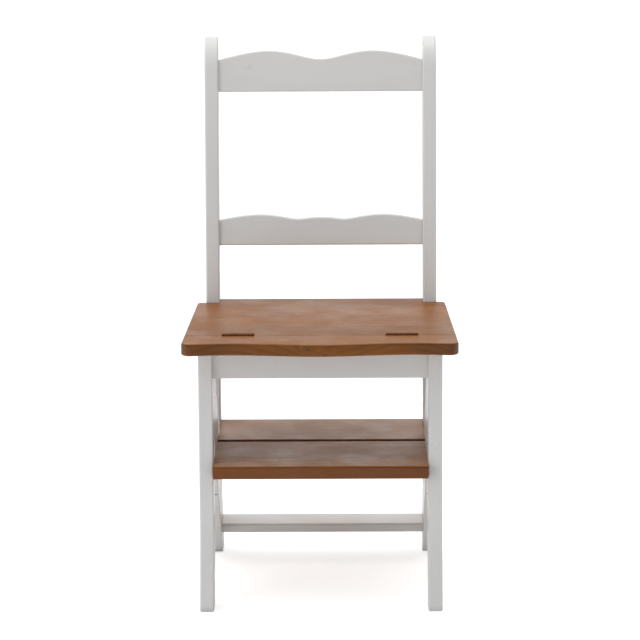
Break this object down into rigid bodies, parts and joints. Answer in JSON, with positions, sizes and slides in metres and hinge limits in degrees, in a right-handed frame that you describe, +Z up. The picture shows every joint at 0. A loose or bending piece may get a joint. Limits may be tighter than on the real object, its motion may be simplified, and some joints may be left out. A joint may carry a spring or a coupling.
{
  "type": "folding step stool chair",
  "caption": "Painted wooden chair with a stained seat whose back half swings over on seat hinges to form a set of library steps.",
  "frame": {"origin": "on the floor, under the middle of the outer box, with the chair unfolded for sitting", "axes": "+Z up, +Y from the front of the seat to its back, +X to the chair's side, along the seat hinges"},
  "size_m": [0.447, 0.448, 0.9],
  "materials": {
    "white_paint": "satin white paint",
    "stained_wood": "satin stain with fine grain",
    "dark_bronze": "dark patina",
    "dark_screw": "dark",
    "bare_beech": "bare"
  },
  "bodies": {
    "root": {"front_leg_left": "white_paint", "front_leg_right": "white_paint", "lower_stringer_left": "white_paint", "lower_stringer_right": "white_paint", "front_apron": "white_paint", "seat_front_strip": "stained_wood", "lower_step": "stained_wood", "apron_dowels": "bare_beech", "strip_dowels": "bare_beech", "leg_stringer_dowels": "bare_beech", "lower_step_screws": "dark_screw", "stringer_edge_screws": "dark_screw", "hinge_fixed_leaf_left": "dark_bronze", "hinge_fixed_leaf_right": "dark_bronze", "hinge_pin_left": "dark_bronze", "hinge_pin_right": "dark_bronze", "hinge_fixed_screws": "dark_screw"},
    "back_frame": {"back_post_left": "white_paint", "back_post_right": "white_paint", "upper_stringer_left": "white_paint", "upper_stringer_right": "white_paint", "seat_side_rail_left": "white_paint", "seat_side_rail_right": "white_paint", "crest_rail": "white_paint", "mid_rail": "white_paint", "foot_stretcher": "white_paint", "seat_rear_board": "stained_wood", "upper_step": "stained_wood", "hinge_moving_leaf_left": "dark_bronze", "hinge_moving_leaf_right": "dark_bronze", "hinge_moving_screws": "dark_screw", "upper_step_screws": "dark_screw", "stretcher_screws": "dark_screw", "back_rail_dowels": "bare_beech", "side_rail_dowels": "bare_beech", "seat_board_dowels": "bare_beech", "toe_dowels": "bare_beech"}
  },
  "joints": [
    {"name": "seat_hinge", "type": "hinge", "parent": "root", "child": "back_frame", "pos_m": [0, -0.1475, 0.4503], "axis": [1, 0, 0], "range_deg": [0, 180]}
  ]
}
